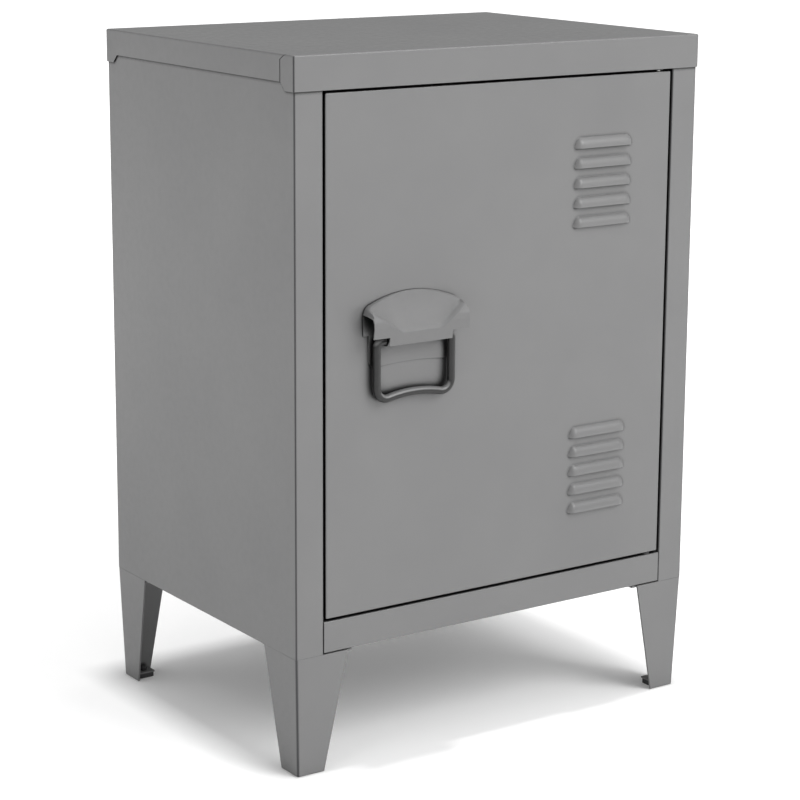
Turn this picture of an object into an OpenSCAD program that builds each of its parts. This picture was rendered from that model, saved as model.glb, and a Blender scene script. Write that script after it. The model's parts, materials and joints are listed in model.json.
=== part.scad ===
// Single-door locker cabinet in folded sheet steel, on four tapered legs.
// Frame: origin on the floor under the middle of the part's box, +X right, +Y to the back, +Z up.

/* [Overall] */
// Width over the lid
width = 400; // [340:1:520]
// Depth over the lid
depth = 300; // [250:1:400]
// Height from the floor to the top of the lid
height = 575; // [480:1:800]
// Height of the legs, up to the underside of the case
leg_height = 100; // [80:1:150]

/* [Sheet] */
// Sheet thickness of the case, the lid and the door
sheet = 0.8; // [0.6:0.1:1.0]
// Sheet thickness of the legs
leg_sheet = 1.5; // [1:0.1:2]
// Play between the lid's skirt and the case
lid_fit = 0.2; // [0.1:0.05:0.5]

/* [Lid] */
// Height of the front and rear aprons
apron_h = 27.5; // [24:0.5:40]
// Height of the shorter side flanges
lid_side_h = 21; // [16:0.5:24]
// Width of the ears that wrap round the corners
ear_w = 19; // [14:0.5:26]
// Slit between an ear and a side flange
ear_slit = 0.5; // [0.3:0.1:1]

/* [Case] */
// Width of the stile beside the door
stile_w = 26; // [22:0.5:40]
// Depth of the return behind the stile and the rails
return_d = 20; // [19.5:0.5:30]
// Height of the rail under the door
rail_h = 27; // [24:0.5:40]
// Width of the inward flanges at the top and back of the sides
flange_w = 15; // [13:0.5:20]
// Width of the inward flange at the bottom of the sides
foot_flange_w = 20; // [18:0.5:24]
// Width of the lip that the door closes against
stop_w = 12; // [10:0.5:14]
// Height of the upturned edges of the floor
floor_edge_h = 12; // [8:0.5:18]
// Slack between case pieces that lie side by side
seam = 0.1; // [0.05:0.05:0.3]

/* [Door] */
// Gap round the door
door_gap = 2; // [1.5:0.1:3]
// Depth of the door pan
door_depth = 16; // [14:0.5:16]
// Width of the lips folded in behind the door pan
door_lip = 10; // [8:0.5:14]
// Width of the crown of the stiffening channel
stiffener_w = 30; // [20:1:40]
// Width of each foot of the stiffening channel
stiffener_foot = 10; // [8:0.5:14]

/* [Louvres] */
// Number of louvres in each set
louvre_count = 5; // [1:1:6]
// Length of a louvre
louvre_l = 60; // [40:1:90]
// Height of a louvre
louvre_h = 9; // [7:0.5:11]
// How far a louvre stands out
louvre_out = 4; // [2.5:0.1:5]
// Distance from one louvre to the next
louvre_pitch = 16.3; // [13:0.1:20]
// From the top or bottom edge of the door to the middle of its set
louvre_edge = 86.5; // [70:0.5:110]
// From the hinged edge of the door to the nearer end of the louvres
louvre_side = 41; // [30:0.5:60]

/* [Hinge] */
// Radius of the hinge pins
pin_r = 2; // [1.5:0.1:2]
// Radial play of a pin in its bush
pin_play = 0.05; // [0.02:0.01:0.1]
// From the door's edge to the pin's axis
hinge_inset = 10; // [9:0.5:14]
// From the door's front to the pin's axis
hinge_depth = 5; // [4.6:0.1:6]
// Radius of a bush's barrel
bush_r = 3.2; // [3:0.1:3.5]
// Radius of a bush's collar
collar_r = 4.4; // [4.1:0.1:4.5]

/* [Handle] */
// From the door's free edge to the middle of the handle
handle_side = 79.5; // [65:0.5:100]
// From the door's lower edge to the bail's pivot
handle_up = 220.5; // [150:0.5:300]
// How far the hood reaches past each arm of the bail
hood_over = 9.7; // [8.5:0.1:14]
// How far the hood stands out from the door
hood_out = 17.5; // [16:0.5:22]
// From the pivot down to the lower edge of the hood
hood_below = 2.5; // [2:0.1:4]
// From the pivot up to the crown of the hood
hood_above = 37.5; // [34:0.5:45]
// Radius of the hood's arched top
hood_arch_r = 100; // [70:1:160]
// Sheet thickness of the hood and its back plate
hood_sheet = 1; // [0.8:0.1:1.2]
// How far the back plate reaches past each arm of the bail
plate_over = 4.7; // [3.5:0.1:8]
// From the pivot down to the back plate's lower edge
plate_below = 21.5; // [16:0.5:26]

/* [Bail] */
// Radius of the bail's wire
wire_r = 3.2; // [2.5:0.1:3.5]
// Half the distance between the arms
bail_half = 35.8; // [34:0.1:40]
// From the pivot down to the lowest part of the bail's axis
bail_drop = 46.5; // [35:0.5:55]
// How far the middle of the grip arches up
bail_rise = 3; // [1:0.5:5]
// Bend radius at the two lower corners
bail_corner_r = 9; // [6:0.5:12]
// Gap between the wire and the back plate
bail_gap = 1.3; // [0.8:0.1:2]

/* [Legs] */
// Width of a leg's flanges at the top
leg_top_w = 49; // [42:0.5:60]
// Width of a leg's flanges at the floor
leg_foot_w = 25; // [20:0.5:30]
// How far a leg's corner leans in at the floor
leg_lean = 3; // [0:0.5:6]
// Side of the foot glide
glide_w = 16; // [14:0.5:24]
// Thickness of the foot glide
glide_h = 4; // [3:0.5:6]

/* [Inside] */
// Height of the shelf above the floor panel
shelf_up = 232; // [120:1:320]
// Height of the lips at the front and back of the shelf
shelf_lip = 18; // [12:0.5:30]

/* [Hidden] */

$fn = 48;
cut = 1;                    // how far a cutter runs past what it cuts
paint = [0.53, 0.53, 0.54];
steel = [0.72, 0.73, 0.75];
black = [0.09, 0.09, 0.10];
ferrite = [0.25, 0.24, 0.24];

// case
ear_cut = 2;                // bevel at the top of a lid's ear
rail_lip = 12;              // height of the lip behind the rail under the door
header_lip = 7;             // how far the header's lip hangs behind the door
header_swing = 21;          // room that the turning door needs beside its hinge
case_x = width / 2 - sheet - lid_fit;
case_y = depth / 2 - sheet - lid_fit;
case_top = height - sheet;
case_bot = leg_height;
inner_x = case_x - sheet;
open_x = case_x - stile_w;
open_lo = case_bot + rail_h;
open_hi = height - apron_h;
return_y = return_d - case_y;
floor_z = case_bot + sheet;
back_y = case_y - sheet - seam;
front_reach = case_y + hood_out;

// door
door_x = open_x - door_gap;
door_lo = open_lo + door_gap;
door_hi = open_hi - door_gap;
door_y = -case_y;
door_back = door_y + door_depth;

// hinge
pivot_x = door_x - hinge_inset;
pivot_y = door_y + hinge_depth;
hold = 0.05;                // slack of a pin, rivet or bolt in the piece it fastens
clear = 0.3;                // gap between pieces that move past each other
pin_head_r = 3.6;
pin_head_h = 1.6;
pin_reach = 5;              // how far a pin enters its bush
bush_l = 6;
upper_collar = 1;
lower_collar = door_gap - clear;
stiffener_gap = 3;          // from the stiffener's crown to the back of the door

// louvres
louvre_x1 = door_x - louvre_side;
louvre_x0 = louvre_x1 - louvre_l;
louvre_slot = 0.55 * louvre_h;
louvre_zs = [for (mid = [door_lo + louvre_edge, door_hi - louvre_edge], i = [1 : louvre_count])
    mid + (i - (louvre_count + 1) / 2) * louvre_pitch - louvre_h / 2];

// handle and bail
handle_x = handle_side - door_x;
bail_z = door_lo + handle_up;
hood_half = bail_half + hood_over;
plate_half = bail_half + plate_over;
plate_y = door_y - hood_sheet;
bail_y = plate_y - bail_gap - wire_r;
hood_lo = bail_z - hood_below;
hood_hi = bail_z + hood_above;
hood_y = door_y - hood_out;
shoulder_r = 8;
notch_play = 2.5;           // beside an arm of the bail in the hood's notch
notch_w = hood_over + wire_r + notch_play;
notch_h = 7;
scoop_deep = 3.5;           // depth of the thumb scoop at its crease
scoop_half = 17;            // half the width of the scoop at its foot
scoop_foot = 9;             // from the hood's lower edge up to the scoop's foot
scoop_crease = 13;          // from the hood's lower edge up to the scoop's crease
scoop_side = 1.5;           // of the hood left beside the scoop at the shoulders
scoop_drop = 13;            // from the crown down to the scoop's ends at the shoulders
plate_corner = 7;
plate_arch_r = 300;
plate_rise = 2;             // how far the plate's lower edge arches up
spigot_r = 2;
lug_in = 9.5;               // from an arm of the bail in to the middle of its lug
lug_x = bail_half - lug_in;
lug_t = 2;
lug_r = spigot_r + 2.4;
bail_bend_r = 5;
bead = 0.02;
handle_rivet_r = 2;
handle_rivet_x = 13;
handle_rivet_zs = [bail_z + 4, bail_z + 16];

// legs
glide_in = 2;               // from a leg's inner faces to the glide
glide_corner = 3;
glide_mid = leg_lean + leg_sheet + glide_in + glide_w / 2;
stem_r = 3;
stem_up = 3;                // how far the glide's stem stands above its tab
snap_r = 4;
snap_h = 1.5;
bolt_r = 2.5;
bolt_head_r = 4.5;
bolt_head_h = 3;
bolt_spare = 3;             // of the bolt past its nut
nut_r = 4.6;
nut_h = 4;
bolt_x = [case_x - foot_flange_w / 2 - 1, case_x - 37];
bolt_y = case_y - 31;
leg_plate_w = leg_top_w + 5;
leg_plate_cut = leg_top_w * 0.8;

// lid studs
stud_r = 2;
stud_l = 10;
stud_nut_r = 4;
stud_nut_h = 3.2;
stud_x = inner_x - flange_w / 2;
stud_y = case_y - 40;

// shelf
shelf_z = floor_z + shelf_up;
shelf_side_gap = 1.5;
shelf_front_gap = 4;
shelf_back_gap = 2;
shelf_x = inner_x - shelf_side_gap;
shelf_y0 = return_y + shelf_front_gap;
shelf_y1 = back_y - sheet - shelf_back_gap;
clip_t = 1.2;
clip_w = 12;
clip_in = 10;
clip_h = 14;
clip_end = 30;              // from the shelf's front and back edges to a clip
clip_y = [shelf_y0 + clip_end, shelf_y1 - clip_end];

// catch at the top of the free side
catch_h = 40;
catch_w = 17;
catch_z = open_hi - 52;
catch_x = stop_w - open_x + seam;
strike_t = 1.2;
pole_tip = 0.7;             // how far the poles stand out of the catch
pole_y = door_back + strike_t + clear;
catch_y0 = pole_y + pole_tip;
catch_y1 = catch_y0 + 18;
catch_wall = 1.6;
catch_ear = 9;
catch_ear_t = 2.4;
catch_screw_in = 10;        // from the catch's ends to its screws
catch_mid = catch_x + catch_w / 2;
magnet_t = 5;
magnet_set = 1.5;           // from the catch's front in to its magnet
pole_t = 1.5;
strike_rivet_r = 1.5;

// door bumpers
bumper_r = 4;
bumper_zs = [door_lo + 40, catch_z - 30];

// screws of the rails and the back panel
rail_head_h = 2;
rail_screw_y = -case_y + return_d / 2;
rail_screw_zs = [open_hi + 8, case_top - 8];
screw_r = 1.8;
screw_head_r = 3.6;
screw_head_h = 0.9;
screw_l = 6;
back_x = case_x - flange_w / 2;
back_z0 = case_bot + 30;
back_z1 = open_hi - 12;
back_zs = [for (i = [0 : 3]) back_z0 + i * (back_z1 - back_z0) / 3];
floor_screw_xs = [-case_x / 3, case_x / 3];
floor_screw_z = floor_z + sheet + floor_edge_h / 2;

// a box given by two opposite corners
module slab(a, b) {
    translate(a) cube(b - a);
}

// both sides of the cabinet
module left_and_right() {
    children();
    mirror([1, 0, 0]) children();
}

// front and back
module front_and_back() {
    children();
    mirror([0, 1, 0]) children();
}

// points on an arc about c, from angle a0 to a1
function arc(c, r, a0, a1, n) =
    [for (i = [0 : n]) let (a = a0 + (a1 - a0) * i / n) c + r * [cos(a), sin(a)]];

// an outline in X and Z, given thickness from y0 to y1
module upright(y0, y1) {
    translate([0, y1, 0]) rotate([90, 0, 0]) linear_extrude(y1 - y0) children();
}

// an outline in Y and Z, given length from x0 to x1
module along_x(x0, x1) {
    translate([x0, 0, 0]) rotate([90, 0, 90]) linear_extrude(x1 - x0) children();
}

// ---- lid ----

module lid_ear() {
    notch = apron_h - lid_side_h;
    mirror([0, 1, 0]) along_x(width / 2 - sheet, width / 2)
        polygon([[depth / 2, height], [depth / 2, height - apron_h],
            [depth / 2 - ear_w + notch, height - apron_h],
            [depth / 2 - ear_w, height - lid_side_h],
            [depth / 2 - ear_w, height - sheet - ear_cut], [depth / 2 - ear_w + ear_cut, height]]);
}

module lid() {
    side_y = depth / 2 - ear_w - ear_slit;
    color(paint) union() {
        slab([-width / 2, -depth / 2, height - sheet], [width / 2, depth / 2, height]);
        front_and_back()
            slab([-width / 2, -depth / 2, height - apron_h], [width / 2, sheet - depth / 2, height]);
        left_and_right() {
            slab([width / 2 - sheet, -side_y, height - lid_side_h], [width / 2, depth / 2, height]);
            front_and_back() lid_ear();
        }
    }
}

module at_studs() {
    for (sx = [-1, 1], sy = [-1, 1]) translate([sx * stud_x, sy * stud_y, 0]) children();
}

module lid_studs() {
    color(steel) at_studs() translate([0, 0, case_top - stud_l]) cylinder(r = stud_r, h = stud_l);
}

module lid_nuts() {
    color(steel) at_studs() translate([0, 0, case_top - sheet - stud_nut_h]) difference() {
        cylinder(r = stud_nut_r, h = stud_nut_h, $fn = 6);
        translate([0, 0, -cut]) cylinder(r = stud_r + hold, h = stud_nut_h + 2 * cut);
    }
}

// ---- sides ----

// one side sheet, drawn on the right, with its stile, return and inward flanges
module side_sheet() {
    difference() {
        union() {
            slab([inner_x, -case_y, case_bot], [case_x, case_y, case_top]);
            slab([open_x, -case_y, case_bot], [case_x, sheet - case_y, case_top]);
            slab([open_x, -case_y, case_bot], [open_x + sheet, return_y, case_top]);
            slab([case_x - flange_w, case_y - sheet, case_bot], [case_x, case_y, case_top]);
            slab([case_x - flange_w, return_y + cut, case_top - sheet], [case_x, case_y, case_top]);
            slab([case_x - foot_flange_w, return_y + cut, case_bot], [case_x, case_y, floor_z]);
        }
        for (sy = [-1, 1]) {
            translate([stud_x, sy * stud_y, case_top - sheet - cut])
                cylinder(r = stud_r + hold, h = sheet + 2 * cut);
            translate([bolt_x[0], sy * bolt_y, case_bot - cut])
                cylinder(r = bolt_r + hold, h = sheet + 2 * cut);
        }
        for (z = back_zs) back_hole([back_x, z]);
        for (z = rail_screw_zs) rail_hole(z);
    }
}

module back_hole(p) {
    translate([p[0], case_y + cut, p[1]]) rotate([90, 0, 0])
        cylinder(r = screw_r + hold, h = 3 * sheet + 2 * cut);
}

module rail_hole(z) {
    translate([open_x - seam - sheet - cut, rail_screw_y, z]) rotate([0, 90, 0])
        cylinder(r = screw_r + hold, h = 2 * sheet + seam + 2 * cut);
}

module left_side() {
    color(paint) mirror([1, 0, 0]) union() {
        side_sheet();
        slab([open_x - stop_w, return_y - sheet, case_bot + rail_h + seam],
            [open_x + sheet, return_y, open_hi - seam]);
    }
}

module right_side() {
    color(paint) side_sheet();
}

// ---- back, floor and header ----

module back_panel() {
    color(paint) difference() {
        slab([seam - inner_x, back_y - sheet, floor_z + sheet],
            [inner_x - seam, back_y, case_top - sheet - seam]);
        left_and_right() for (z = back_zs) back_hole([back_x, z]);
        for (x = floor_screw_xs) back_hole([x, floor_screw_z]);
    }
}

module back_screw(p) {
    translate([p[0], case_y, p[1]]) rotate([90, 0, 0]) {
        translate([0, 0, -screw_head_h]) cylinder(r = screw_head_r, h = screw_head_h);
        cylinder(r = screw_r, h = screw_l);
    }
}

module back_screws() {
    color(steel) {
        left_and_right() for (z = back_zs) back_screw([back_x, z]);
        // these two lie on the back panel, below the rear edge of the lid
        for (x = floor_screw_xs)
            translate([0, back_y - case_y, 0]) back_screw([x, floor_screw_z]);
    }
}

module floor_panel() {
    in_x = open_x - seam;
    edge_x = inner_x - seam;
    rear = back_y - sheet - seam;
    top = floor_z + sheet + floor_edge_h;
    color(paint) difference() {
        union() {
            slab([-in_x, -case_y, floor_z], [in_x, return_y + cut, floor_z + sheet]);
            slab([-edge_x, return_y + cut, floor_z], [edge_x, rear, floor_z + sheet]);
            slab([-in_x, -case_y, floor_z], [in_x, sheet - case_y, open_lo]);
            slab([-in_x, -case_y, open_lo - sheet], [in_x, return_y, open_lo]);
            slab([-in_x, return_y - sheet, open_lo - rail_lip], [in_x, return_y, open_lo]);
            slab([-edge_x, rear - sheet, floor_z], [edge_x, rear, top]);
            left_and_right()
                slab([edge_x - sheet, return_y + cut, floor_z], [edge_x, rear, top]);
        }
        for (sx = [-1, 1], sy = [-1, 1], x = bolt_x)
            translate([sx * x, sy * bolt_y, floor_z - cut])
                cylinder(r = bolt_r + hold, h = sheet + 2 * cut);
        translate([pivot_x, pivot_y, open_lo - sheet - cut])
            cylinder(r = bush_r + hold, h = sheet + 2 * cut);
        for (x = floor_screw_xs) translate([x, rear + cut, floor_screw_z]) rotate([90, 0, 0])
            cylinder(r = screw_r + hold, h = sheet + 2 * cut);
    }
}

module header_rail() {
    in_x = open_x - seam;
    top = case_top - seam;
    color(paint) difference() {
        union() {
            slab([-in_x, -case_y, open_hi], [in_x, sheet - case_y, top]);
            slab([-in_x, -case_y, open_hi], [in_x, return_y, open_hi + sheet]);
            slab([-in_x, -case_y, top - sheet], [in_x, return_y, top]);
            slab([stop_w - in_x + clear, return_y - sheet, open_hi - header_lip],
                [pivot_x - header_swing, return_y, open_hi + sheet]);
            left_and_right()
                slab([in_x - sheet, -case_y, open_hi], [in_x, return_y, top]);
        }
        translate([pivot_x, pivot_y, open_hi - cut])
            cylinder(r = bush_r + hold, h = sheet + 2 * cut);
        left_and_right() for (z = rail_screw_zs) rail_hole(z);
    }
}

module rail_screws() {
    color(steel) left_and_right() for (z = rail_screw_zs)
        translate([open_x - seam - sheet, rail_screw_y, z]) rotate([0, 90, 0]) {
            translate([0, 0, -rail_head_h]) cylinder(r = screw_head_r, h = rail_head_h);
            cylinder(r = screw_r, h = screw_l);
        }
}

// ---- legs, drawn at the front right corner ----

// a flange's outline, measured from the corner's edge inwards
module leg_outline() {
    foot = leg_sheet / 3;
    polygon([[0, case_bot], [-leg_top_w, case_bot], [-leg_foot_w - leg_lean, foot],
        [-leg_lean, foot]]);
}

// a plate that leans with the leg, thickness inwards
module leaning_plate() {
    lean = atan(leg_lean / leg_height);
    translate([0, 0, case_bot]) rotate([lean, 0, 0])
        translate([-2 * leg_top_w, 0, -2 * leg_height])
            cube([3 * leg_top_w, leg_sheet, 2 * leg_height]);
}

// the flange that faces the front
module leg_front_flange() {
    intersection() {
        leaning_plate();
        upright(-leg_lean, leg_lean + leg_sheet + cut) leg_outline();
    }
}

module leg() {
    edge = leg_sheet / 2;
    tab = leg_lean + leg_sheet + glide_in + glide_w;
    translate([case_x, -case_y, 0]) union() {
        leg_front_flange();
        // the side flange is the front one turned about the corner's edge
        mirror([1, 1, 0]) leg_front_flange();
        // plate that bolts to the case
        difference() {
            translate([0, 0, case_bot - leg_sheet]) linear_extrude(leg_sheet)
                polygon([[-edge, edge], [-leg_plate_w, edge], [-leg_plate_w, leg_plate_cut],
                    [-leg_plate_cut, leg_plate_w], [-edge, leg_plate_w]]);
            for (x = bolt_x) translate([x - case_x, case_y - bolt_y, case_bot - leg_sheet - cut])
                cylinder(r = bolt_r + hold, h = leg_sheet + 2 * cut);
        }
        // tab that carries the glide
        difference() {
            slab([-tab, leg_lean + edge, glide_h], [-leg_lean - edge, tab, glide_h + leg_sheet]);
            glide_place() translate([0, 0, glide_h - cut])
                cylinder(r = stem_r + hold, h = leg_sheet + 2 * cut);
        }
    }
}

// the middle of the glide, from the leg's corner
module glide_place() {
    translate([-glide_mid, glide_mid, 0]) children();
}

module leg_front_right() {
    color(paint) leg();
}

module leg_front_left() {
    color(paint) mirror([1, 0, 0]) leg();
}

module leg_rear_right() {
    color(paint) mirror([0, 1, 0]) leg();
}

module leg_rear_left() {
    color(paint) mirror([1, 0, 0]) mirror([0, 1, 0]) leg();
}

// moulded glide with a stem through the tab and a snap rim above it
module foot_glide() {
    r = glide_corner;
    in = glide_w / 2 - r;
    translate([case_x, -case_y, 0]) glide_place() union() {
        linear_extrude(glide_h) union() {
            square([2 * in, glide_w], center = true);
            square([glide_w, 2 * in], center = true);
            for (sx = [-1, 1], sy = [-1, 1]) translate([sx * in, sy * in]) circle(r);
        }
        cylinder(r = stem_r, h = glide_h + leg_sheet + stem_up);
        translate([0, 0, glide_h + leg_sheet]) cylinder(r = snap_r, h = snap_h);
    }
}

module foot_glides() {
    color(black) left_and_right() front_and_back() foot_glide();
}

module at_bolts() {
    for (sx = [-1, 1], sy = [-1, 1], x = bolt_x) translate([sx * x, sy * bolt_y, 0]) children();
}

module leg_bolts() {
    color(steel) at_bolts() {
        translate([0, 0, case_bot - leg_sheet - bolt_head_h])
            cylinder(r = bolt_head_r, h = bolt_head_h);
        translate([0, 0, case_bot - leg_sheet])
            cylinder(r = bolt_r, h = leg_sheet + nut_h + bolt_spare);
    }
}

module leg_nuts() {
    color(steel) at_bolts() translate([0, 0, floor_z + sheet]) difference() {
        cylinder(r = nut_r, h = nut_h, $fn = 6);
        translate([0, 0, -cut]) cylinder(r = bolt_r + hold, h = nut_h + 2 * cut);
    }
}

// ---- inside ----

module shelf() {
    color(paint) union() {
        slab([-shelf_x, shelf_y0, shelf_z - sheet], [shelf_x, shelf_y1, shelf_z]);
        for (y = [shelf_y0, shelf_y1 - sheet])
            slab([-shelf_x, y, shelf_z - shelf_lip], [shelf_x, y + sheet, shelf_z]);
    }
}

module shelf_clips() {
    top = shelf_z - sheet;
    color(steel) left_and_right() for (y = clip_y) union() {
        slab([inner_x - clip_t, y, top - clip_h], [inner_x, y + clip_w, top]);
        slab([inner_x - clip_in, y, top - clip_t], [inner_x, y + clip_w, top]);
        clip_gusset(y + clip_w / 2 - clip_t / 2, top);
    }
}

module clip_gusset(y, top) {
    upright(y, y + clip_t)
        polygon([[inner_x, top], [inner_x - clip_in, top], [inner_x, top - clip_h]]);
}

module door_bumpers() {
    pad = return_y - sheet - door_back - clear;
    color(black) for (z = bumper_zs)
        translate([stop_w / 2 - open_x - 1, return_y - sheet, z]) rotate([90, 0, 0])
            cylinder(r = bumper_r, h = pad);
}

// ---- magnetic catch ----

module catch_body() {
    wall = catch_wall;
    color(black) difference() {
        union() {
            slab([catch_x, catch_y0, catch_z], [catch_x + catch_w, catch_y1, catch_z + catch_h]);
            slab([catch_x - catch_ear, return_y, catch_z + 4],
                [catch_x + cut, return_y + catch_ear_t, catch_z + catch_h - 4]);
        }
        slab([catch_x + wall, catch_y0 - cut, catch_z + wall],
            [catch_x + catch_w - wall, catch_y1 - wall, catch_z + catch_h - wall]);
        at_catch_screws() translate([0, 0, -cut])
            cylinder(r = screw_r + hold, h = catch_ear_t + 2 * cut);
    }
}

// the catch's two screw axes, running backwards from the stop lip's rear face
module at_catch_screws() {
    for (z = [catch_z + catch_screw_in, catch_z + catch_h - catch_screw_in])
        translate([catch_x - 5, return_y, z]) rotate([-90, 0, 0]) children();
}

module catch_magnet() {
    edge = catch_wall + seam;
    color(ferrite)
        slab([catch_mid - magnet_t / 2, catch_y0 + magnet_set, catch_z + edge],
            [catch_mid + magnet_t / 2, catch_y1 - edge, catch_z + catch_h - edge]);
}

module catch_poles() {
    edge = catch_wall + seam;
    color(steel) for (s = [-1, 1]) translate([catch_mid + s * (magnet_t + pole_t) / 2, 0, 0])
        slab([-pole_t / 2, pole_y, catch_z + edge],
            [pole_t / 2, catch_y1 - edge, catch_z + catch_h - edge]);
}

module catch_screws() {
    color(steel) at_catch_screws() {
        translate([0, 0, catch_ear_t]) cylinder(r = screw_head_r, h = 2 * screw_head_h);
        cylinder(r = screw_r, h = catch_ear_t);
    }
}

module strike_plate() {
    color(steel) difference() {
        slab([1 - door_x, door_back, catch_z + 2],
            [catch_x + catch_w - 1, door_back + strike_t, catch_z + catch_h - 2]);
        at_strike_rivets() translate([0, 0, -cut])
            cylinder(r = strike_rivet_r + hold, h = strike_t + 2 * cut);
    }
}

module at_strike_rivets() {
    for (z = [catch_z + catch_screw_in, catch_z + catch_h - catch_screw_in])
        translate([door_lip / 2 - door_x, door_back, z]) rotate([-90, 0, 0]) children();
}

module strike_rivets() {
    color(steel) at_strike_rivets() {
        translate([0, 0, -sheet - 1]) cylinder(r = 2.6, h = 1);
        translate([0, 0, -sheet]) cylinder(r = strike_rivet_r, h = sheet + strike_t);
    }
}

// ---- hinge ----

module hinge_bush(collar) {
    difference() {
        union() {
            cylinder(r = collar_r, h = collar);
            translate([0, 0, -bush_l]) cylinder(r = bush_r, h = bush_l);
        }
        translate([0, 0, -bush_l - cut])
            cylinder(r = pin_r + pin_play, h = bush_l + collar + 2 * cut);
    }
}

module hinge_bush_upper() {
    color(black) translate([pivot_x, pivot_y, open_hi]) mirror([0, 0, 1]) hinge_bush(upper_collar);
}

module hinge_bush_lower() {
    color(black) translate([pivot_x, pivot_y, open_lo]) hinge_bush(lower_collar);
}

// a headed pin whose head sits inside the door pan
module hinge_pin() {
    translate([0, 0, -pin_head_h]) cylinder(r = pin_head_r, h = pin_head_h);
    cylinder(r = pin_r, h = sheet + door_gap + pin_reach);
}

module hinge_pin_upper() {
    color(steel) translate([pivot_x, pivot_y, door_hi - sheet]) hinge_pin();
}

module hinge_pin_lower() {
    color(steel) translate([pivot_x, pivot_y, door_lo + sheet]) mirror([0, 0, 1]) hinge_pin();
}

// ---- door ----

// section of a louvre, from its lower lip at z = 0 up to the door's face
function louvre_points(g) =
    let (r = louvre_h - g, o = louvre_out - g)
    [for (i = [0 : 10]) let (a = 90 * i / 10) [-o * pow(cos(a), 0.7), r * pow(sin(a), 1.2)]];

module louvre_section(g) {
    polygon(concat([[0, 0]], louvre_points(g)));
}

// one louvre with its lip along z = 0 and its back on the door's face
module louvre() {
    difference() {
        along_x(louvre_x0, louvre_x1) translate([door_y, 0]) louvre_section(0);
        along_x(louvre_x0 + sheet, louvre_x1 - sheet)
            translate([door_y, 0]) louvre_section(sheet);
        slab([louvre_x0 + sheet, door_y - louvre_out + sheet, -cut],
            [louvre_x1 - sheet, door_y + cut, sheet]);
    }
}

module door_panel() {
    color(paint) difference() {
        union() {
            slab([-door_x, door_y, door_lo], [door_x, door_y + sheet, door_hi]);
            left_and_right() {
                slab([door_x - sheet, door_y, door_lo], [door_x, door_back, door_hi]);
                slab([door_x - door_lip, door_back - sheet, door_lo], [door_x, door_back, door_hi]);
            }
            for (z = [door_lo, door_hi - sheet])
                slab([-door_x, door_y, z], [door_x, door_back, z + sheet]);
            for (z = [door_lo, door_hi - door_lip])
                slab([-door_x, door_back - sheet, z], [door_x, door_back, z + door_lip]);
            for (z = louvre_zs) translate([0, 0, z]) louvre();
        }
        for (z = louvre_zs)
            slab([louvre_x0 + sheet, door_y - sheet / 2, z], [louvre_x1 - sheet, door_y + sheet + cut,
                z + louvre_slot]);
        for (z = [door_lo, door_hi - sheet]) translate([pivot_x, pivot_y, z - cut])
            cylinder(r = pin_r + hold, h = sheet + 2 * cut);
        at_strike_rivets() translate([0, 0, -sheet - cut])
            cylinder(r = strike_rivet_r + hold, h = sheet + 2 * cut);
        at_handle_rivets() translate([0, 0, -cut])
            cylinder(r = handle_rivet_r + hold, h = sheet + 2 * cut);
    }
}

module door_stiffener() {
    y0 = door_y + sheet;
    crown = door_back - stiffener_gap;
    z0 = door_lo + 2 * sheet;
    z1 = door_hi - 2 * sheet;
    w = stiffener_w / 2;
    color(paint) union() {
        slab([-w, crown - sheet, z0], [w, crown, z1]);
        left_and_right() {
            slab([w - sheet, y0, z0], [w, crown, z1]);
            slab([w - sheet, y0, z0], [w + stiffener_foot, y0 + sheet, z1]);
        }
    }
}

// ---- handle ----

// front outline of the hood: upright sides, rounded shoulders and an arched top
function hood_outline(lo, half, inset) =
    let (big = hood_arch_r - inset, r = shoulder_r - inset, h = half - inset,
        c = [0, hood_hi - hood_arch_r],
        s = [-h + r, c[1] + sqrt(pow(big - r, 2) - pow(h - r, 2))],
        a = atan2(s[1] - c[1], s[0]),
        left = concat(arc(s, r, 180, a, 6), arc(c, big, a, 90, 10)),
        n = len(left))
    concat([[-h, lo]], left, [for (i = [n - 2 : -1 : 0]) [-left[i][0], left[i][1]]], [[h, lo]]);

module handle_plate() {
    low = bail_z - plate_below;
    corner = plate_corner;
    color(paint) translate([handle_x, 0, 0]) difference() {
        union() {
            upright(plate_y, door_y) difference() {
                union() {
                    polygon(hood_outline(hood_lo + notch_h, hood_half, 0));
                    translate([-plate_half, low + corner])
                        square([2 * plate_half, hood_lo + notch_h - low]);
                    translate([corner - plate_half, low])
                        square([2 * (plate_half - corner), hood_above]);
                    for (s = [-1, 1])
                        translate([s * (plate_half - corner), low + corner]) circle(corner);
                }
                // the lower edge is arched
                translate([0, low + plate_rise - plate_arch_r]) circle(plate_arch_r, $fn = 96);
            }
            for (s = [-1, 1]) translate([s * lug_x, 0, 0]) handle_lug();
        }
        for (s = [-1, 1]) translate([s * lug_x - lug_t / 2 - cut, bail_y, bail_z])
            rotate([0, 90, 0]) cylinder(r = spigot_r + pin_play, h = lug_t + 2 * cut);
        translate([-handle_x, 0, 0]) at_handle_rivets() translate([0, 0, -hood_sheet - cut])
            cylinder(r = handle_rivet_r + hold, h = hood_sheet + 2 * cut);
    }
}

// an ear with a round end, bent out of the back plate, for the bail's spigot
module handle_lug() {
    along_x(-lug_t / 2, lug_t / 2) union() {
        translate([bail_y, bail_z]) circle(lug_r);
        translate([bail_y, bail_z - lug_r])
            square([plate_y - bail_y + hood_sheet / 2, 2 * lug_r]);
    }
}

// side section of the hood, from its lower edge round the nose to the crown
function hood_section(inset) =
    let (y = hood_y + inset, z = hood_lo, past = inset > 0 ? cut : 0)
    [[plate_y + past, z - past], [y + 2.5, z - past], [y, z + 15], [y + 0.4, z + 20 - inset],
        [y + 3, z + 24.5 - inset], [y + 7, z + 28.5 - inset], [plate_y - 3 + inset, hood_hi],
        [plate_y + past, hood_hi + 3]];

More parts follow.
